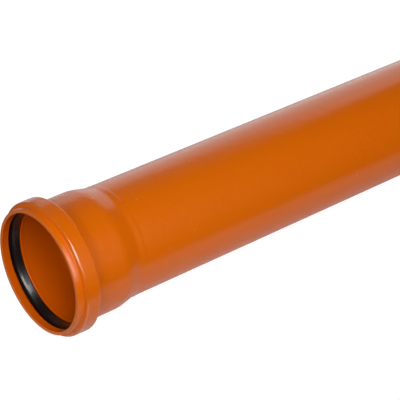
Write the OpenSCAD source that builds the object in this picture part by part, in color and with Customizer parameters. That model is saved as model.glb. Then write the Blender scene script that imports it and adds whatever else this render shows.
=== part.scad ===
// Plain-ended drain pipe with a formed socket and a rubber lip seal.
// The pipe lies along X with its socket mouth towards -X.
// Every section is drawn as [radius, depth], with depth counted from the socket's mouth.

/* [Pipe] */
// Outer diameter of the pipe and of the spigot end
pipe_d = 110; // [75:1:200]
// Wall thickness of the pipe
pipe_wall = 3.2; // [2.2:0.1:6]
// Length that one pipe adds to a run, without the part inside the next socket
laying_length = 1000; // [250:50:6000]

/* [Spigot] */
// Length of the chamfer at the spigot end
chamfer_length = 6; // [3:0.5:10]
// Angle of the chamfer to the pipe's axis
chamfer_angle = 15; // [10:1:20]

/* [Socket sleeve] */
// Radial clearance between the sleeve's bore and an inserted pipe
sleeve_clearance = 0.6; // [0.2:0.05:1.2]
// Wall thickness of the sleeve
sleeve_wall = 3.3; // [2:0.1:6]
// Straight length of the sleeve behind the seal bead
sleeve_length = 36.5; // [25:0.5:80]
// Length of the cone from the sleeve down to the pipe
taper_length = 17; // [8:0.5:30]
// Radius that blends the cone into the sleeve and into the pipe
taper_round = 36; // [4:1:40]

/* [Socket mouth] */
// Radial clearance between the mouth and an inserted pipe
mouth_clearance = 2.6; // [1.6:0.1:4]
// Wall thickness of the mouth's lip beside the bead
lip_wall = 3.9; // [2.4:0.1:6]
// How much thinner the lip is at its rim
lip_taper = 0.5; // [0:0.1:1]
// Length of the lip's outside, from the rim to the seal bead
lip_length = 6.2; // [4.6:0.2:12]
// Radius of the rim's two edges
rim_round = 0.6; // [0.3:0.1:1]

/* [Seal bead] */
// Radial depth of the seal groove, measured from the sleeve's bore
groove_depth = 7.2; // [6:0.1:9]
// How far the groove's floor starts behind the bead's front edge
groove_setback = 2.1; // [1.6:0.1:3]
// Width of the seal groove along its floor
groove_width = 9; // [8.2:0.1:20]
// Wall thickness of the bead over the groove
bead_wall = 2.9; // [2:0.1:5]
// Wall thickness behind the groove
bead_rear_wall = 3.5; // [2:0.1:5]
// How far the bead's front face leans back from the lip to the bead's edge
bead_lean = 1.3; // [0.5:0.1:3]
// How far the groove's front side leans back from foot to floor
groove_front_lean = 2.4; // [1:0.1:3]
// How far the groove's rear side leans back from floor to foot
groove_rear_lean = 0.8; // [0.4:0.1:2]
// Radius of the bead's front edge
bead_front_round = 1.3; // [0.3:0.1:2]
// Radius of the bead's rear edge
bead_rear_round = 0.6; // [0.2:0.1:2]
// Radius of the creases beside the bead and of the groove's corners
crease_round = 0.6; // [0.2:0.1:0.8]

/* [Seal ring] */
// Gap between the ring and the groove that holds it
seal_gap = 0.2; // [0.1:0.05:0.4]
// Gap between the sealing lip and an inserted pipe
lip_gap = 0.3; // [0.1:0.05:0.8]
// Length of the ring's heel along the groove's floor
heel_length = 5.2; // [3:0.1:6.5]
// Thickness of the sealing lip
seal_lip_thickness = 1.7; // [1:0.1:2.2]
// How far the ring's front edge lies back from the mouth's bore
seal_recess = 0.6; // [0.3:0.1:1.2]
// How far the ring's front face leans back from the heel to its inner edge
seal_front_lean = 1.2; // [0.4:0.1:1.8]
// Radius of the ring's front inner edge
seal_front_round = 0.6; // [0.3:0.1:0.8]

/* [Hidden] */
$fn = 128;

// Largest turn of one straight step along a rounded corner, in degrees, and its fewest steps
arc_step = 7.5;
fewest_steps = 4;

// Largest share of a wall or of a sloping side that one rounding takes
rounding_share = 0.45;

// Rounding of the sealing lip's free edge as a share of its thickness
lip_tip_share = 0.3;

// Radii
pipe_r = pipe_d / 2;
bore_r = pipe_r - pipe_wall;
chamfer_tip_r = pipe_r - chamfer_length * tan(chamfer_angle);
sleeve_r = pipe_r + sleeve_clearance;
sleeve_outer_r = sleeve_r + sleeve_wall;
mouth_r = pipe_r + mouth_clearance;
mouth_outer_r = mouth_r + lip_wall;
rim_outer_r = mouth_outer_r - lip_taper;
groove_r = sleeve_r + groove_depth;
bead_r = groove_r + bead_wall;
rim_edge_round = min(rim_round, (lip_wall - lip_taper) * rounding_share);

// Depths behind the mouth
bead_front = lip_length + bead_lean;
groove_front = bead_front + groove_setback;
groove_foot = groove_front - groove_front_lean;
groove_rear = groove_front + groove_width;
sleeve_front = groove_rear + groove_rear_lean;
bead_rear = groove_rear + bead_rear_wall;
sleeve_outer_front = sleeve_front + bead_rear_wall;
sleeve_rear = sleeve_outer_front + sleeve_length;
taper_rear = sleeve_rear + taper_length;
insertion_depth = sleeve_rear + chamfer_length;
overall_length = laying_length + insertion_depth;

// Blend of the cone into the sleeve and the pipe, outside and in the bore
outside_taper_round = cone_round(sleeve_outer_r - pipe_r);
bore_taper_round = cone_round(sleeve_r - bore_r);

// Seal ring
heel_r = groove_r - seal_gap;
heel_front = groove_front + seal_gap;
heel_rear = heel_front + heel_length;
seal_front = heel_front + seal_front_lean;
seal_front_r = mouth_r + seal_recess;
seal_back_r = seal_front_r + seal_lip_thickness;
lip_tip_r = pipe_r + lip_gap;
lip_tip_depth = groove_rear - seal_gap;
heel_round = min(crease_round, (heel_r - seal_back_r) * rounding_share);
lip_tip_round = seal_lip_thickness * lip_tip_share;

// Blend radius for a cone that drops by this much over the taper's length
function cone_round(drop) =
    let (slope = atan(drop / taper_length))
    min(taper_round, rounding_share * norm([drop, taper_length]) / tan(slope / 2));

function unit(v) = v / norm(v);

function turned(v, angle) =
    [v.x * cos(angle) - v.y * sin(angle), v.x * sin(angle) + v.y * cos(angle)];

// Points of the arc that rounds the corner b between its neighbours a and c
function rounded_corner(a, b, c, radius) =
    let (
        to_a = unit(a - b),
        to_c = unit(c - b),
        half_angle = acos(to_a * to_c) / 2,
        centre = b + unit(to_a + to_c) * radius / sin(half_angle),
        spoke = b + to_a * radius / tan(half_angle) - centre,
        sweep = (180 - 2 * half_angle) * sign(cross(b - a, c - b)),
        steps = max(fewest_steps, ceil(abs(sweep) / arc_step))
    )
    [for (i = [0:steps]) centre + turned(spoke, sweep * i / steps)];

// Closed outline through corners given as [radius, depth, rounding]
function rounded_outline(corners) =
    let (
        count = len(corners),
        at = [for (corner = corners) [corner.x, corner.y]]
    )
    [for (i = [0:count - 1])
        each corners[i].z > 0
            ? rounded_corner(at[(i + count - 1) % count], at[i], at[(i + 1) % count], corners[i].z)
            : [at[i]]];

pipe_outside = [
    [rim_outer_r, 0, rim_edge_round],
    [mouth_outer_r, lip_length, crease_round],
    [bead_r, bead_front, bead_front_round],
    [bead_r, bead_rear, bead_rear_round],
    [sleeve_outer_r, sleeve_outer_front, crease_round],
    [sleeve_outer_r, sleeve_rear, outside_taper_round],
    [pipe_r, taper_rear, outside_taper_round],
    [pipe_r, overall_length - chamfer_length, 0],
    [chamfer_tip_r, overall_length, 0]
];

pipe_inside = [
    [bore_r, overall_length, 0],
    [bore_r, taper_rear, bore_taper_round],
    [sleeve_r, sleeve_rear, bore_taper_round],
    [sleeve_r, sleeve_front, crease_round],
    [groove_r, groove_rear, crease_round],
    [groove_r, groove_front, crease_round],
    [mouth_r, groove_foot, crease_round],
    [mouth_r, 0, rim_edge_round]
];

seal_section = [
    [heel_r, heel_front, heel_round],
    [heel_r, heel_rear, heel_round],
    [seal_back_r, heel_rear, heel_round],
    [lip_tip_r + seal_lip_thickness, lip_tip_depth, lip_tip_round],
    [lip_tip_r, lip_tip_depth, lip_tip_round],
    [seal_front_r, seal_front, seal_front_round]
];

// Turns a section into a ring that lies along X, its depth 0 at the mouth
module turned_along_x(section) {
    translate([-overall_length / 2, 0, bead_r])
        rotate([0, 90, 0])
            rotate_extrude()
                polygon(rounded_outline(section));
}

module pipe() {
    color("#d46300")
        turned_along_x(concat(pipe_outside, pipe_inside));
}

module seal_ring() {
    color("#1c1a19")
        turned_along_x(seal_section);
}

pipe();
seal_ring();
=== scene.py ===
"""Looks of a DN/OD 110 drain pipe: belled PVC-U pipe, rubber lip seal and a plain studio."""

import math

import bpy
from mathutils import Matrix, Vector


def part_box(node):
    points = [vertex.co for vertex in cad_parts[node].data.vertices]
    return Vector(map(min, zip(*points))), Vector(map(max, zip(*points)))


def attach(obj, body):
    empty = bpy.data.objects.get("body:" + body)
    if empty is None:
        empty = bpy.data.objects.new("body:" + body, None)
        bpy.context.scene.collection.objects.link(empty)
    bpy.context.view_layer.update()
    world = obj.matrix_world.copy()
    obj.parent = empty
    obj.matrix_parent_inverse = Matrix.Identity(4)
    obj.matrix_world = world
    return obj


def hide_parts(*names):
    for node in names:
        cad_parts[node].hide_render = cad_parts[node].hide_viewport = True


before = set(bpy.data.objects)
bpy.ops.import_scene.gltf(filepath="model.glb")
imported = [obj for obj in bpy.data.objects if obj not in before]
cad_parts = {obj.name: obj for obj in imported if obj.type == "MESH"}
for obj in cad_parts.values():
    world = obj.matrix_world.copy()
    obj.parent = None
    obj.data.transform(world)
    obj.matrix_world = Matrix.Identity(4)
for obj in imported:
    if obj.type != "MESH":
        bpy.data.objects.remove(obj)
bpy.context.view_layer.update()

bl_info = {
    "name": "Drain pipe with lip seal",
    "version": (1, 0, 0),
    "blender": (4, 5, 0),
    "location": "View3D > Sidebar > Drain pipe",
    "description": "Builds a belled drain pipe, its seal ring and a plain studio round them",
    "category": "Add Mesh",
}

MM = 0.001

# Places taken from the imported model. Depths count from the rim of the mouth towards the spigot.
PIPE_LOW, PIPE_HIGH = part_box("pipe")
SEAL_LOW, SEAL_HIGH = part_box("seal_ring")
MOUTH_X = PIPE_LOW.x
OVERALL_LENGTH = PIPE_HIGH.x - MOUTH_X
BEAD_R = PIPE_HIGH.z / 2
AXIS_Z = BEAD_R
SEAL_HEEL_FRONT = SEAL_LOW.x - MOUTH_X
SEAL_REAR = SEAL_HIGH.x - MOUTH_X
SEAL_HEEL_R = SEAL_HIGH.z - AXIS_Z


def length(name, description, default):
    """A size in metres, shown with its unit."""
    return bpy.props.FloatProperty(
        name=name, description=description, default=default, min=0.0, precision=5, unit="LENGTH"
    )


def angle(name, description, degrees):
    """An angle, given in degrees."""
    return bpy.props.FloatProperty(
        name=name, description=description, default=math.radians(degrees), subtype="ANGLE"
    )


def number(name, description, default):
    """A plain number that isn't negative."""
    return bpy.props.FloatProperty(name=name, description=description, default=default, min=0.0)


def colour(name, description, default):
    """A colour kept as an sRGB hex value, such as #C85F0A."""
    return bpy.props.StringProperty(name=name, description=description, default=default)


class DrainPipeSizes(bpy.types.PropertyGroup):
    """Sizes of the pipe and its socket"""

    pipe_r: length("Pipe radius", "Outer radius of the pipe", 55 * MM)
    bore_r: length("Bore radius", "Inner radius of the pipe", 51.8 * MM)
    mouth_r: length("Mouth bore", "Inner radius of the mouth's lip", 57.6 * MM)
    lip_wall: length("Lip wall", "Wall thickness of the mouth's lip beside the bead", 3.9 * MM)
    lip_taper: length("Lip taper", "How much thinner the lip is at its rim", 0.5 * MM)
    lip_length: length("Lip length", "Depth of the crease between lip and bead", 6.2 * MM)
    lip_taper_rear: length("Lip taper depth", "Depth at which the lip stops thinning", 4.0 * MM)
    lip_round: length("Lip radius", "Blend at the end of the lip's taper", 14 * MM)
    rim_round: length("Rim radius", "Radius of the rim's two edges", 0.4 * MM)
    bead_lean: length("Bead lean", "How far the bead's front face leans back", 1.3 * MM)
    bead_front_round: length("Bead front radius", "Radius of the bead's front edge", 1.7 * MM)
    bead_rear_round: length("Bead rear radius", "Radius of the bead's rear edge", 0.8 * MM)
    bead_wall: length("Bead wall", "Wall thickness over the groove", 2.9 * MM)
    bead_rear_wall: length("Bead rear wall", "Wall thickness behind the groove", 3.5 * MM)
    groove_front: length("Groove front", "Depth at which the groove's floor starts", 9.6 * MM)
    groove_rear: length("Groove rear", "Depth at which the groove's floor ends", 18.6 * MM)
    groove_front_lean: length("Groove front lean", "Lean of the groove's front side", 2.4 * MM)
    groove_rear_lean: length("Groove rear lean", "Lean of the groove's rear side", 0.8 * MM)
    crease_round: length("Crease radius", "Radius of creases and of the groove's corners", 0.5 * MM)
    sleeve_r: length("Sleeve bore", "Inner radius of the sleeve", 55.6 * MM)
    sleeve_wall: length("Sleeve wall", "Wall thickness of the sleeve", 3.3 * MM)
    sleeve_rear: length("Sleeve depth", "Depth at which the sleeve turns into the cone", 59.8 * MM)
    taper_rear: length("Cone depth", "Depth at which the cone meets the pipe", 75.8 * MM)
    shoulder_round: length("Shoulder radius", "Blend from the sleeve into the cone", 32 * MM)
    foot_round: length("Foot radius", "Blend from the cone into the pipe", 17 * MM)
    clamp_mark_rear: length("Clamp mark depth", "Depth at which the clamp's mark ends", 84.3 * MM)
    clamp_mark_length: length("Clamp mark length", "Length of the mark's low step", 2.4 * MM)
    clamp_mark_height: length("Clamp mark height", "Height of the mark's low step", 0.22 * MM)
    clamp_mark_round: length("Clamp mark radius", "Blend at the mark's two edges", 8 * MM)
    chamfer_length: length("Chamfer length", "Length of the chamfer at the spigot end", 6 * MM)
    chamfer_drop: length("Chamfer drop", "How far the chamfer cuts into the wall", 1.6 * MM)
    chamfer_round: length("Chamfer radius", "Radius of the chamfer's edges", 0.3 * MM)


class SealRingSizes(bpy.types.PropertyGroup):
    """Sizes of the seal ring's section"""

    heel_length: length("Heel length", "Length of the ring along the groove's floor", 5.2 * MM)
    heel_round: length("Heel radius", "Radius of the heel's edges", 0.6 * MM)
    front_lean: length("Front lean", "How far the front face leans back to its edge", 1.8 * MM)
    front_r: length("Front radius", "Radius of the ring's front inner edge", 57.8 * MM)
    front_round: length("Front rounding", "Rounding of that edge", 0.7 * MM)
    knee_depth: length("Knee depth", "How far behind that edge the lip's slope eases", 1.6 * MM)
    knee_r: length("Knee radius", "Inner radius of the lip where its slope eases", 57.0 * MM)
    knee_round: length("Knee rounding", "Blend between the two slopes", 6 * MM)
    lip_thickness: length("Lip thickness", "Thickness of the sealing lip", 1.7 * MM)
    tip_r: length("Tip radius", "Radius of the sealing lip's free edge", 55.4 * MM)
    tip_round: length("Tip rounding", "Rounding of the free edge", 0.45 * MM)


class FinishSizes(bpy.types.PropertyGroup):
    """Real sizes of the patterns in the finishes"""

    # Draw lines and grain are coarser here than on real ones, whose own are too fine to show
    line_spacing: length("Line spacing", "Between the faint lines drawn along the pipe", 1.6 * MM)
    line_height: length("Line height", "Height of those lines", 0.006 * MM)
    swell_spacing: length("Swell spacing", "Between the slow swells of the skin", 9 * MM)
    swell_height: length("Swell height", "Height of those swells", 0.25 * MM)
    patch_spacing: length("Patch spacing", "Between the deeper coloured patches", 40 * MM)
    speck_spacing: length("Speck spacing", "Side of a cell that holds one speck", 25 * MM)
    speck_r: length("Speck radius", "Radius of a pale speck, where it has faded out", 0.75 * MM)
    nick_spacing: length("Nick spacing", "Width of a cell that holds one nick", 14 * MM)
    nick_r: length("Nick radius", "Half a pale nick's width, where it has faded out", 0.56 * MM)
    bloom_spacing: length("Bloom spacing", "Between the patches of grey bloom on rubber", 12 * MM)
    grain_spacing: length("Grain spacing", "Between the grains of the rubber", 0.5 * MM)
    grain_height: length("Grain height", "Height of those grains", 0.003 * MM)


class StageSizes(bpy.types.PropertyGroup):
    """Where the camera stands, and how strong the studio's light is"""

    view_azimuth: angle("View azimuth", "Where the camera stands, from +Y towards -X", 140.64)
    view_elevation: angle("View elevation", "How high the camera stands", 31.55)
    view_distance: length("View distance", "From the camera to the point it looks at", 1.814)
    aim_depth: length("Aim depth", "Depth of the point the camera looks at", 0.1902)
    aim_rise: length("Aim rise", "Height of that point above the pipe's axis", 0.0036)
    lens: number("Lens", "Focal length in millimetres", 169.9)
    floor_size: length("Floor size", "Side of the square floor", 60.0)
    floor_front: length("Floor front", "How far the floor reaches before the pipe's axis", 0.15)
    tall_power: number("Tall lamp", "Watts of the tall narrow softbox at the front right", 12.5)
    key_power: number("Key lamp", "Watts of the softbox above the camera", 15.0)
    broad_power: number("Broad lamp", "Watts of the broad softbox before the mouth", 14.5)
    end_power: number("End lamp", "Watts of the wide softbox beyond the spigot end", 7.9)
    back_power: number("Back lamp", "Watts of the low softbox behind the pipe", 4.5)
    fill: number("Fill", "Plain light from all round", 0.05)
    fill_mirrored: number("Mirrored fill", "How bright the dark studio is in reflections", 0.01)
    sweep: number("Sweep", "Brightness of the faint glow above the back softbox", 0.11)


class FinishColours(bpy.types.PropertyGroup):
    """Colours of the finishes, as sRGB hex values"""

    pvc: colour("PVC", "Orange-brown of the solid-coloured PVC-U", "#D46300")
    # The deep PVC colour is the plastic's own in its patches, and painted shade all through the
    # bore
    pvc_deep_and_bore_shade: colour("Deep PVC", "Its deeper patches, and its skin inside the bore", "#D65C00")
    pvc_pale: colour("Pale PVC", "Where the plastic was sawn or scraped", "#DF9866")
    rubber: colour("Rubber", "Carbon-filled black of the seal", "#0F0E0D")
    rubber_bloom: colour("Rubber bloom", "Grey bloom on the rubber", "#3A3733")
    floor: colour("Floor", "Matt white of the floor", "#DCDCDC")
    floor_seen: colour("Floor seen", "How strongly the camera sees shade on the floor", "#888888")


def linear(hex_value):
    """The linear RGBA of an sRGB hex value such as #C85F0A."""
    channels = [int(hex_value[i:i + 2], 16) / 255 for i in (1, 3, 5)]
    bent = [c / 12.92 if c <= 0.04045 else ((c + 0.055) / 1.055) ** 2.4 for c in channels]
    return (*bent, 1.0)


def add_node(tree, kind, settings=None, **inputs):
    """Adds a node with its settings, and gives each input a value or links a socket to it.

    An input goes by its name, with _ for spaces, or by its place, as i0 or i1.
    """
    node = tree.nodes.new(kind)
    for name, value in (settings or {}).items():
        setattr(node, name, value)
    for name, value in inputs.items():
        place = name[1:] if name[0] == "i" else ""
        socket = node.inputs[int(place) if place.isdigit() else name.replace("_", " ")]
        if isinstance(value, bpy.types.NodeSocket):
            tree.links.new(value, socket)
        else:
            socket.default_value = value
    return node


# Modelling by hand: a section drawn out ring by ring along the pipe's axis

TURN_SEGMENTS = 192
ROUND_SEGMENTS = 6
SAME_PLACE = 0.01 * MM
SMOOTH_ANGLE = math.radians(25)


def select_rings(body, corners):
    """Selects the ring of edges at each corner (depth, radius), and nothing else."""
    bpy.ops.mesh.select_all(action="DESELECT")
    bpy.ops.object.mode_set(mode="OBJECT")
    for depth, radius, _ in corners:
        ring = set()
        for vertex in body.data.vertices:
            at = body.matrix_world @ vertex.co
            near_depth = abs(at.x - MOUTH_X - depth) < SAME_PLACE
            if near_depth and abs(math.hypot(at.y, at.z - AXIS_Z) - radius) < SAME_PLACE:
                ring.add(vertex.index)
        for edge in body.data.edges:
            if ring.issuperset(edge.vertices):
                edge.select = True
    bpy.ops.object.mode_set(mode="EDIT")


def setback(before, corner, after):
    """How far a corner's rounding reaches along the two sides that meet there."""
    arriving = math.atan2(corner[1] - before[1], corner[0] - before[0])
    leaving = math.atan2(after[1] - corner[1], after[0] - corner[0])
    turn = abs((leaving - arriving + math.pi) % math.tau - math.pi)
    return corner[2] * math.tan(turn / 2)


def draw_ring_body(name, corners):
    """A closed body of revolution on the pipe's axis, from corners (depth, radius, rounding)."""
    bpy.ops.object.select_all(action="DESELECT")
    start_depth, start_r, _ = corners[0]
    bpy.ops.mesh.primitive_circle_add(
        vertices=TURN_SEGMENTS, radius=start_r, location=(MOUTH_X + start_depth, 0, AXIS_Z),
        rotation=(0, math.pi / 2, 0),
    )
    body = bpy.context.active_object
    body.name = body.data.name = name
    bpy.ops.object.mode_set(mode="EDIT")
    bpy.ops.mesh.select_mode(type="EDGE")
    bpy.ops.mesh.select_all(action="SELECT")
    for (depth, radius, _), (next_depth, next_r, _) in zip(corners, corners[1:]):
        step = (next_depth - depth, 0, 0)
        bpy.ops.mesh.extrude_region_move(TRANSFORM_OT_translate={"value": step})
        bpy.ops.transform.resize(
            value=(1, next_r / radius, next_r / radius),
            center_override=(MOUTH_X + next_depth, 0, AXIS_Z),
        )
    select_rings(body, [corners[0], corners[-1]])
    bpy.ops.mesh.bridge_edge_loops()
    for i, corner in enumerate(corners):
        if corner[2] > 0:
            select_rings(body, [corner])
            bpy.ops.mesh.bevel(
                offset_type="OFFSET", affect="EDGES", segments=ROUND_SEGMENTS,
                offset=setback(corners[i - 1], corner, corners[(i + 1) % len(corners)]),
            )
    bpy.ops.mesh.select_all(action="SELECT")
    bpy.ops.mesh.normals_make_consistent(inside=False)
    bpy.ops.object.mode_set(mode="OBJECT")
    bpy.ops.object.transform_apply(location=True, rotation=True, scale=True)
    bpy.ops.object.shade_smooth_by_angle(angle=SMOOTH_ANGLE)
    bpy.ops.object.modifier_add(type="WEIGHTED_NORMAL")
    body.modifiers[-1].keep_sharp = True
    bpy.ops.object.modifier_apply(modifier=body.modifiers[-1].name)
    return body


def pipe_corners(size):
    """Corners of the pipe's section: the outside from mouth to spigot, and back along the bore."""
    mouth_outer_r = size.mouth_r + size.lip_wall
    groove_r = BEAD_R - size.bead_wall
    sleeve_front = size.groove_rear + size.groove_rear_lean
    sleeve_outer_r = size.sleeve_r + size.sleeve_wall
    mark_r = size.pipe_r + size.clamp_mark_height
    chamfer_front = OVERALL_LENGTH - size.chamfer_length
    return [
        (0, mouth_outer_r - size.lip_taper, size.rim_round),
        (size.lip_taper_rear, mouth_outer_r, size.lip_round),
        (size.lip_length, mouth_outer_r, size.crease_round),
        (size.lip_length + size.bead_lean, BEAD_R, size.bead_front_round),
        (size.groove_rear + size.bead_rear_wall, BEAD_R, size.bead_rear_round),
        (sleeve_front + size.bead_rear_wall, sleeve_outer_r, size.crease_round),
        (size.sleeve_rear, sleeve_outer_r, size.shoulder_round),
        (size.taper_rear, mark_r, size.foot_round),
        (size.clamp_mark_rear - size.clamp_mark_length, mark_r, size.clamp_mark_round),
        (size.clamp_mark_rear, size.pipe_r, size.clamp_mark_round),
        (chamfer_front, size.pipe_r, size.chamfer_round),
        (OVERALL_LENGTH, size.pipe_r - size.chamfer_drop, size.chamfer_round),
        (OVERALL_LENGTH, size.bore_r, size.chamfer_round),
        (size.taper_rear, size.bore_r, size.shoulder_round),
        (size.sleeve_rear, size.sleeve_r, size.shoulder_round),
        (sleeve_front, size.sleeve_r, size.crease_round),
        (size.groove_rear, groove_r, size.crease_round),
        (size.groove_front, groove_r, size.crease_round),
        (size.groove_front - size.groove_front_lean, size.mouth_r, size.crease_round),
        (0, size.mouth_r, size.rim_round),
    ]


def seal_corners(size):
    """Corners of the seal ring's section, from the heel's front round to the front inner edge."""
    heel_rear = SEAL_HEEL_FRONT + size.heel_length
    return [
        (SEAL_HEEL_FRONT, SEAL_HEEL_R, size.heel_round),
        (heel_rear, SEAL_HEEL_R, size.heel_round),
        (heel_rear, size.front_r + size.lip_thickness, size.heel_round),
        (SEAL_REAR, size.tip_r + size.lip_thickness, size.tip_round),
        (SEAL_REAR, size.tip_r, size.tip_round),
        (SEAL_HEEL_FRONT + size.front_lean + size.knee_depth, size.knee_r, size.knee_round),
        (SEAL_HEEL_FRONT + size.front_lean, size.front_r, size.front_round),
    ]


# Finishes. A pattern's Scale is one over its real spacing in metres.

SAWN_FADE = (0.05 * MM, 0.25 * MM)  # depths over which the rim's sawn face turns to skin
SAWN_RIM = 0.8  # how sawn the rim looks, against 1 for the spigot's face
SAWN_PALER = 0.25
SAWN_ROUGHER = 0.3
SCRAPED_PALER = 0.7
SCRAPED_CORE = 0.6  # share of a speck's or nick's radius before it starts to fade
NICK_TURN = (0.9, 0.3, 0.5)
NICK_STRETCH = (0.25, 1, 1)  # four times as long as they are wide
LINE_STRETCH = (0.01, 1, 1)  # a hundred times as long
FRONT_CORNER = 1.4  # where the bead's front corner is, in shares of its face's lean
FRONT_BURNISH = 1.0 * MM  # half the width of the burnished band on that corner
REAR_BURNISH = 0.7 * MM
TURNED_IN = -1 * MM
NOISE = (0.3, 0.7)  # nearly all of a noise's values lie between these
PATCH_DEEPER = 0.3
PVC_ROUGHNESS = (0.23, 0.27)
RUBBER_ROUGHNESS = (0.28, 0.34)
BLOOM_NOISE = (0.4, 0.8)
BLOOM_GREYER = 0.12


def empty_material(name):
    """A new material with an empty tree."""
    material = bpy.data.materials.new(name)
    material.use_nodes = True
    material.node_tree.nodes.clear()
    return material, material.node_tree


def place_from_mouth(tree):
    """Object coordinates counted from the middle of the mouth."""
    where = add_node(tree, "ShaderNodeTexCoord")
    place = add_node(
        tree, "ShaderNodeMapping", Vector=where.outputs["Object"], Location=(-MOUTH_X, 0, -AXIS_Z)
    )
    return place.outputs["Vector"]


def surface(tree, shader):
    """Joins a shader to the material's output."""
    add_node(tree, "ShaderNodeOutputMaterial", Surface=shader.outputs[0])


def scattered_spots(tree, place, spacing, radius):
    """Spots that fade out at the radius, one to a cell that the surface happens to cut."""
    cells = add_node(tree, "ShaderNodeTexVoronoi", Vector=place, Scale=1 / spacing)
    spots = add_node(
        tree, "ShaderNodeMapRange", Value=cells.outputs["Distance"],
        From_Min=SCRAPED_CORE * radius / spacing, From_Max=radius / spacing,
        To_Min=SCRAPED_PALER, To_Max=0.0,
    )
    return spots.outputs["Result"]


def scraped_places(tree, place, finish):
    """Where the skin is scraped: specks about 1 mm across, and slanted nicks about 4 mm long."""
    slanted = add_node(
        tree, "ShaderNodeMapping", Vector=place, Rotation=NICK_TURN, Scale=NICK_STRETCH
    )
    scraped = add_node(
        tree, "ShaderNodeMath", {"operation": "MAXIMUM"},
        i0=scattered_spots(tree, place, finish.speck_spacing, finish.speck_r),
        i1=scattered_spots(tree, slanted.outputs["Vector"], finish.nick_spacing, finish.nick_r),
    )
    return scraped.outputs["Value"]


def sawn_places(tree, depth, size):
    """Where the pipe is sawn: the mouth's rim, and the spigot's face with its chamfer."""
    rim = add_node(
        tree, "ShaderNodeMapRange", Value=depth,
        From_Min=SAWN_FADE[0], From_Max=SAWN_FADE[1], To_Min=SAWN_RIM, To_Max=0.0,
    )
    end = add_node(
        tree, "ShaderNodeMath", {"operation": "GREATER_THAN"},
        i0=depth, i1=OVERALL_LENGTH - size.chamfer_length,
    )
    sawn = add_node(
        tree, "ShaderNodeMath", {"operation": "MAXIMUM"},
        i0=rim.outputs["Result"], i1=end.outputs["Value"],
    )
    return sawn.outputs["Value"]


def burnished_places(tree, depth, size):
    """Where handling has burnished the pipe: the bead's front and rear corners."""
    front = add_node(
        tree, "ShaderNodeMath", {"operation": "COMPARE"},
        i0=depth, i1=size.lip_length + FRONT_CORNER * size.bead_lean, i2=FRONT_BURNISH,
    )
    rear = add_node(
        tree, "ShaderNodeMath", {"operation": "COMPARE"},
        i0=depth, i1=size.groove_rear + size.bead_rear_wall, i2=REAR_BURNISH,
    )
    burnished = add_node(
        tree, "ShaderNodeMath", {"operation": "MAXIMUM"},
        i0=front.outputs["Value"], i1=rear.outputs["Value"],
    )
    return burnished.outputs["Value"]


def inner_faces(tree, place):
    """Which faces are turned in, as the bore's are.

    There the distance from the axis, taken along the face's normal, is below zero.
    """
    face = add_node(tree, "ShaderNodeNewGeometry")
    from_axis = add_node(
        tree, "ShaderNodeVectorMath", {"operation": "MULTIPLY"}, i0=place, i1=(0, 1, 1)
    )
    turned = add_node(
        tree, "ShaderNodeVectorMath", {"operation": "DOT_PRODUCT"},
        i0=from_axis.outputs["Vector"], i1=face.outputs["Normal"],
    )
    inner = add_node(
        tree, "ShaderNodeMath", {"operation": "LESS_THAN"},
        i0=turned.outputs["Value"], i1=TURNED_IN,
    )
    return inner.outputs["Value"]


def pvc_colour(tree, place, sawn, finish, colours):
    """Orange-brown, deeper in patches, with painted shade that deepens it all through the bore, and
    paler where sawn or scraped.
    """
    cloud = add_node(
        tree, "ShaderNodeTexNoise", Vector=place, Scale=1 / finish.patch_spacing, Detail=4.0
    )
    patch = add_node(
        tree, "ShaderNodeMapRange", Value=cloud.outputs["Fac"],
        From_Min=NOISE[0], From_Max=NOISE[1], To_Min=0.0, To_Max=PATCH_DEEPER,
    )
    # Painted shade: every face of the bore takes the deeper colour, standing in for the redder
    # light bounced round inside it
    inner = inner_faces(tree, place)
    deeper = add_node(
        tree, "ShaderNodeMath", {"operation": "MAXIMUM"}, i0=inner, i1=patch.outputs["Result"]
    )
    fresh = add_node(
        tree, "ShaderNodeMix", {"data_type": "RGBA"}, Factor=deeper.outputs["Value"],
        A=linear(colours.pvc), B=linear(colours.pvc_deep_and_bore_shade),
    )
    # Nothing scrapes the bore
    mark = add_node(
        tree, "ShaderNodeMath", {"operation": "SUBTRACT", "use_clamp": True},
        i0=scraped_places(tree, place, finish), i1=inner,
    )
    paler = add_node(
        tree, "ShaderNodeMath", {"operation": "MULTIPLY_ADD", "use_clamp": True},
        i0=sawn, i1=SAWN_PALER, i2=mark.outputs["Value"],
    )
    tone = add_node(
        tree, "ShaderNodeMix", {"data_type": "RGBA"}, Factor=paler.outputs["Value"],
        A=fresh.outputs[2], B=linear(colours.pvc_pale),
    )
    return tone.outputs[2]


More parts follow.
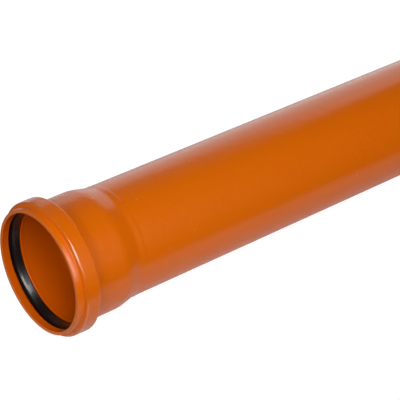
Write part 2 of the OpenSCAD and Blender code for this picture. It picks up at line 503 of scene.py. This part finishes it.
def extruded_pvc_finish(size, finish, colours):
    """Extruded PVC-U, solid orange-brown, sized in a cold metal sleeve.

    The eye gets an even semi-gloss skin with faint lines drawn along the pipe, a slow unevenness
    that softens its reflections, a few pale specks and nicks, sharper gloss on the bead's corners,
    and dull, paler plastic where it was sawn.
    """
    material, tree = empty_material("extruded PVC-U, orange-brown")
    place = place_from_mouth(tree)
    depth = add_node(tree, "ShaderNodeSeparateXYZ", Vector=place).outputs["X"]
    sawn = sawn_places(tree, depth, size)
    stretched = add_node(tree, "ShaderNodeMapping", Vector=place, Scale=LINE_STRETCH)
    lines = add_node(
        tree, "ShaderNodeTexNoise", Vector=stretched.outputs["Vector"],
        Scale=1 / finish.line_spacing, Detail=3.0, Roughness=0.6,
    )
    skin = add_node(
        tree, "ShaderNodeMapRange", Value=lines.outputs["Fac"], From_Min=NOISE[0],
        From_Max=NOISE[1], To_Min=PVC_ROUGHNESS[0], To_Max=PVC_ROUGHNESS[1],
    )
    roughness = add_node(
        tree, "ShaderNodeMath", {"operation": "MULTIPLY_ADD"},
        i0=sawn, i1=SAWN_ROUGHER, i2=skin.outputs["Result"],
    )
    drawn = add_node(
        tree, "ShaderNodeBump", Height=lines.outputs["Fac"], Distance=finish.line_height,
        Strength=1.0,
    )
    swell = add_node(
        tree, "ShaderNodeTexNoise", Vector=place, Scale=1 / finish.swell_spacing, Detail=2.0
    )
    uneven = add_node(
        tree, "ShaderNodeBump", Height=swell.outputs["Fac"], Distance=finish.swell_height,
        Strength=1.0, Normal=drawn.outputs["Normal"],
    )
    surface(tree, add_node(
        tree, "ShaderNodeBsdfPrincipled",
        Base_Color=pvc_colour(tree, place, sawn, finish, colours),
        Roughness=roughness.outputs["Value"], IOR=1.45, Normal=uneven.outputs["Normal"],
        Coat_Weight=burnished_places(tree, depth, size), Coat_Roughness=0.1, Coat_IOR=1.75,
    ))
    return material


def moulded_rubber_finish(finish, colours):
    """Moulded SBR rubber, carbon black, wiped with release agent.

    The eye gets a near-black skin with a soft grey sheen, a faint bloom in patches and a fine
    grain.
    """
    material, tree = empty_material("moulded SBR rubber, black")
    place = place_from_mouth(tree)
    bloom = add_node(
        tree, "ShaderNodeTexNoise", Vector=place, Scale=1 / finish.bloom_spacing, Detail=4.0
    )
    bloomed = add_node(
        tree, "ShaderNodeMapRange", Value=bloom.outputs["Fac"],
        From_Min=BLOOM_NOISE[0], From_Max=BLOOM_NOISE[1], To_Min=0.0, To_Max=BLOOM_GREYER,
    )
    tone = add_node(
        tree, "ShaderNodeMix", {"data_type": "RGBA"}, Factor=bloomed.outputs["Result"],
        A=linear(colours.rubber), B=linear(colours.rubber_bloom),
    )
    skin = add_node(
        tree, "ShaderNodeMapRange", Value=bloom.outputs["Fac"], From_Min=NOISE[0],
        From_Max=NOISE[1], To_Min=RUBBER_ROUGHNESS[0], To_Max=RUBBER_ROUGHNESS[1],
    )
    grain = add_node(
        tree, "ShaderNodeTexNoise", Vector=place, Scale=1 / finish.grain_spacing, Detail=2.0
    )
    grained = add_node(
        tree, "ShaderNodeBump", Height=grain.outputs["Fac"], Distance=finish.grain_height,
        Strength=1.0,
    )
    surface(tree, add_node(
        tree, "ShaderNodeBsdfPrincipled", Base_Color=tone.outputs[2],
        Roughness=skin.outputs["Result"], IOR=1.52, Normal=grained.outputs["Normal"],
        Coat_Weight=0.5, Coat_Roughness=0.1, Coat_IOR=1.5,
    ))
    return material


# The stage. The floor's ranges are in metres, and the sweep's are parts of a unit direction.

# Painted shade before the mouth: MOUTH_FADE is where along the pipe it fades out, and BEFORE_MOUTH
# the share of the floor's colour it leaves
MOUTH_FADE = (MOUTH_X - 0.05, MOUTH_X + 0.02)  # where along the pipe the floor comes up
BEFORE_MOUTH = 0.12  # share of its light that the floor still gives back before there
# Painted light: POOL_FADE and POOL_GLOW place and size the glowing pool on the floor that only
# reflections see
POOL_FADE = (0.1, 0.6)  # how far behind the axis the mirrored floor comes up
POOL_GLOW = (0.06, 0.45)  # how bright it is before and after that
SHADOW_FADE = (0.6, 1.4)  # how far out the floor turns plain white
SHADOW_GLOW = 0.91  # what the camera sees nearer in, where the shadow falls
SWEEP_SIDE = 0.35  # how far towards the back a direction points where the sweep is full
SWEEP_RISE = (0.23, 0.98)  # how far up it points where the sweep starts to fade, and has gone
BLACK = (0, 0, 0, 1)
WHITE = (1, 1, 1, 1)


def matt_floor_finish(colours):
    """Matt white paint, plain white to the camera out of the shadow; other rays see painted shade
    before the mouth, and reflections a painted pool of light behind the pipe.
    """
    material, tree = empty_material("matt white floor")
    seen = add_node(tree, "ShaderNodeLightPath")
    place = add_node(tree, "ShaderNodeNewGeometry")
    where = add_node(tree, "ShaderNodeSeparateXYZ", Vector=place.outputs["Position"])
    # Painted shade: before the mouth the floor is painted near black, which reflections and its
    # bounce light show, though the camera doesn't
    past_mouth = add_node(
        tree, "ShaderNodeMapRange", Value=where.outputs["X"],
        From_Min=MOUTH_FADE[0], From_Max=MOUTH_FADE[1], To_Min=BEFORE_MOUTH, To_Max=1.0,
    )
    lit = add_node(
        tree, "ShaderNodeMix", {"data_type": "RGBA"}, Factor=past_mouth.outputs["Result"],
        A=BLACK, B=linear(colours.floor),
    )
    tone = add_node(
        tree, "ShaderNodeMix", {"data_type": "RGBA"}, Factor=seen.outputs["Is Camera Ray"],
        A=lit.outputs[2], B=linear(colours.floor_seen),
    )
    paint = add_node(tree, "ShaderNodeBsdfDiffuse", Color=tone.outputs[2])
    # Painted light: a glow that only reflections see, a pool of light on the floor behind the pipe
    behind = add_node(
        tree, "ShaderNodeMapRange", Value=where.outputs["Y"],
        From_Min=POOL_FADE[0], From_Max=POOL_FADE[1], To_Min=POOL_GLOW[0], To_Max=POOL_GLOW[1],
    )
    pool = add_node(
        tree, "ShaderNodeMath", {"operation": "MULTIPLY"},
        i0=past_mouth.outputs["Result"], i1=behind.outputs["Result"],
    )
    mirrored = add_node(
        tree, "ShaderNodeMath", {"operation": "MULTIPLY"},
        i0=seen.outputs["Is Glossy Ray"], i1=pool.outputs["Value"],
    )
    # Further out than the shadow it is plain white
    out = add_node(
        tree, "ShaderNodeVectorMath", {"operation": "LENGTH"}, i0=place.outputs["Position"]
    )
    white = add_node(
        tree, "ShaderNodeMapRange", {"interpolation_type": "SMOOTHSTEP"},
        Value=out.outputs["Value"], From_Min=SHADOW_FADE[0], From_Max=SHADOW_FADE[1],
        To_Min=SHADOW_GLOW, To_Max=1.0,
    )
    strength = add_node(
        tree, "ShaderNodeMath", {"operation": "MULTIPLY_ADD"},
        i0=seen.outputs["Is Camera Ray"], i1=white.outputs["Result"],
        i2=mirrored.outputs["Value"],
    )
    glow = add_node(tree, "ShaderNodeEmission", Strength=strength.outputs["Value"])
    surface(tree, add_node(
        tree, "ShaderNodeAddShader", i0=paint.outputs["BSDF"], i1=glow.outputs["Emission"]
    ))
    return material


def light_world(stage):
    """A dim studio, a little brighter behind the pipe, that the camera sees as plain white."""
    world = bpy.data.worlds.new("studio")
    bpy.context.scene.world = world
    world.use_nodes = True
    world.cycles.sampling_method = "NONE"
    tree = world.node_tree
    tree.nodes.clear()
    seen = add_node(tree, "ShaderNodeLightPath")
    where = add_node(tree, "ShaderNodeTexCoord")
    towards = add_node(tree, "ShaderNodeSeparateXYZ", Vector=where.outputs["Generated"])
    behind = add_node(
        tree, "ShaderNodeMapRange", {"interpolation_type": "SMOOTHSTEP"},
        Value=towards.outputs["Y"], From_Min=0.0, From_Max=SWEEP_SIDE,
        To_Min=0.0, To_Max=stage.sweep,
    )
    low = add_node(
        tree, "ShaderNodeMapRange", {"interpolation_type": "SMOOTHSTEP"},
        Value=towards.outputs["Z"], From_Min=SWEEP_RISE[0], From_Max=SWEEP_RISE[1],
        To_Min=1.0, To_Max=0.0,
    )
    fill = add_node(
        tree, "ShaderNodeMapRange", Value=seen.outputs["Is Glossy Ray"],
        To_Min=stage.fill, To_Max=stage.fill_mirrored,
    )
    strength = add_node(
        tree, "ShaderNodeMath", {"operation": "MULTIPLY_ADD"},
        i0=behind.outputs["Result"], i1=low.outputs["Result"], i2=fill.outputs["Result"],
    )
    lit = add_node(
        tree, "ShaderNodeBackground", Color=WHITE, Strength=strength.outputs["Value"]
    )
    plain = add_node(tree, "ShaderNodeBackground", Color=WHITE, Strength=1.0)
    shown = add_node(
        tree, "ShaderNodeMixShader", i0=seen.outputs["Is Camera Ray"],
        i1=lit.outputs["Background"], i2=plain.outputs["Background"],
    )
    add_node(tree, "ShaderNodeOutputWorld", Surface=shown.outputs["Shader"])


def outward(azimuth, elevation):
    """Unit direction turned by azimuth from +Y towards -X, and raised by elevation."""
    return Vector((
        -math.sin(azimuth) * math.cos(elevation),
        math.cos(azimuth) * math.cos(elevation),
        math.sin(elevation),
    ))


def stand_off(seer, aim, direction, distance):
    """Moves a camera or lamp out from the aim, and turns it to look back there."""
    seer.location = aim + direction * distance
    seer.rotation_euler = direction.to_track_quat("Z", "Y").to_euler()


def add_softbox(name, aim, power, azimuth, elevation, width, height, distance=1.75):
    """A soft rectangular lamp, stood off from the aim at angles given in degrees."""
    bpy.ops.object.light_add(type="AREA")
    lamp = bpy.context.active_object
    lamp.name = lamp.data.name = name
    lamp.data.shape = "RECTANGLE"
    lamp.data.size = width
    lamp.data.size_y = height
    lamp.data.energy = power
    lamp.visible_camera = False
    stand_off(lamp, aim, outward(math.radians(azimuth), math.radians(elevation)), distance)
    return lamp


def light_pipe(stage):
    """Four softboxes that the plastic mirrors, and one behind it that only lights it."""
    mouth = Vector((MOUTH_X, 0, AXIS_Z))
    middle = Vector((0, 0, AXIS_Z))
    behind_mouth = Vector((MOUTH_X, 1.24, 0.6))
    add_softbox(
        "tall softbox", mouth, stage.tall_power, azimuth=-166.8, elevation=30,
        width=0.34, height=1.6,
    )
    add_softbox(
        "key softbox", mouth, stage.key_power, azimuth=152, elevation=47, width=0.58, height=1.1
    )
    add_softbox(
        "broad softbox", mouth, stage.broad_power, azimuth=116, elevation=19,
        width=0.8, height=0.6,
    )
    add_softbox(
        "end softbox", behind_mouth, stage.end_power, azimuth=-90, elevation=0,
        width=1.78, height=1.2, distance=1.2,
    )
    back = add_softbox(
        "back softbox", middle, stage.back_power, azimuth=12, elevation=8, width=1.4, height=0.5
    )
    back.visible_glossy = False


def set_camera(stage):
    """Stands the camera before the mouth, and looks along the pipe from above."""
    bpy.ops.object.camera_add()
    camera = bpy.context.active_object
    camera.name = camera.data.name = "camera"
    camera.data.lens = stage.lens
    aim = Vector((MOUTH_X + stage.aim_depth, 0, AXIS_Z + stage.aim_rise))
    stand_off(camera, aim, outward(stage.view_azimuth, stage.view_elevation), stage.view_distance)
    bpy.context.scene.camera = camera


# Operators

class DRAINPIPE_OT_pipe(bpy.types.Operator):
    """Draws the belled pipe with its socket, bead, clamp mark and chamfered end"""

    bl_idname = "drainpipe.pipe"
    bl_label = "Pipe"

    def execute(self, context):
        scene = context.scene
        body = draw_ring_body("pipe_body", pipe_corners(scene.drain_pipe))
        finish = extruded_pvc_finish(scene.drain_pipe, scene.drain_finish, scene.drain_colours)
        body.data.materials.append(finish)
        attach(body, "root")
        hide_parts("pipe")
        return {"FINISHED"}


class DRAINPIPE_OT_seal(bpy.types.Operator):
    """Draws the rubber lip seal in the socket's groove"""

    bl_idname = "drainpipe.seal"
    bl_label = "Seal ring"

    def execute(self, context):
        scene = context.scene
        ring = draw_ring_body("lip_seal", seal_corners(scene.drain_seal))
        ring.data.materials.append(moulded_rubber_finish(scene.drain_finish, scene.drain_colours))
        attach(ring, "root")
        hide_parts("seal_ring")
        return {"FINISHED"}


class DRAINPIPE_OT_stage(bpy.types.Operator):
    """Lays the floor, lights the pipe and sets the camera"""

    bl_idname = "drainpipe.stage"
    bl_label = "Stage"

    def execute(self, context):
        stage = context.scene.drain_stage
        bpy.ops.object.select_all(action="DESELECT")
        bpy.ops.mesh.primitive_plane_add(
            size=stage.floor_size, location=(0, stage.floor_size / 2 - stage.floor_front, 0)
        )
        floor = context.active_object
        floor.name = floor.data.name = "floor"
        floor.data.materials.append(matt_floor_finish(context.scene.drain_colours))
        light_world(stage)
        light_pipe(stage)
        set_camera(stage)
        context.scene.view_settings.view_transform = "Standard"
        return {"FINISHED"}


class DRAINPIPE_PT_panel(bpy.types.Panel):
    """Lists the steps and sizes in the sidebar"""

    bl_label = "Drain pipe"
    bl_space_type = "VIEW_3D"
    bl_region_type = "UI"
    bl_category = "Drain pipe"

    def draw(self, context):
        for step in OPERATORS:
            self.layout.operator(step.bl_idname)
        for name, group in GROUPS.items():
            box = self.layout.box()
            for key in group.__annotations__:
                box.prop(getattr(context.scene, name), key)


GROUPS = {
    "drain_pipe": DrainPipeSizes,
    "drain_seal": SealRingSizes,
    "drain_finish": FinishSizes,
    "drain_stage": StageSizes,
    "drain_colours": FinishColours,
}
OPERATORS = (DRAINPIPE_OT_pipe, DRAINPIPE_OT_seal, DRAINPIPE_OT_stage)


def register():
    """Registers the classes, and gives the scene its sizes and colours."""
    for cls in (*GROUPS.values(), *OPERATORS, DRAINPIPE_PT_panel):
        bpy.utils.register_class(cls)
    for name, group in GROUPS.items():
        setattr(bpy.types.Scene, name, bpy.props.PointerProperty(type=group))


def unregister():
    """Takes back what register did."""
    for name in GROUPS:
        delattr(bpy.types.Scene, name)
    for cls in (DRAINPIPE_PT_panel, *reversed(OPERATORS), *reversed(GROUPS.values())):
        bpy.utils.unregister_class(cls)


def main():
    """Builds the pieces and the stage."""
    register()
    bpy.ops.drainpipe.pipe()
    bpy.ops.drainpipe.seal()
    bpy.ops.drainpipe.stage()


if __name__ == "__main__":
    main()
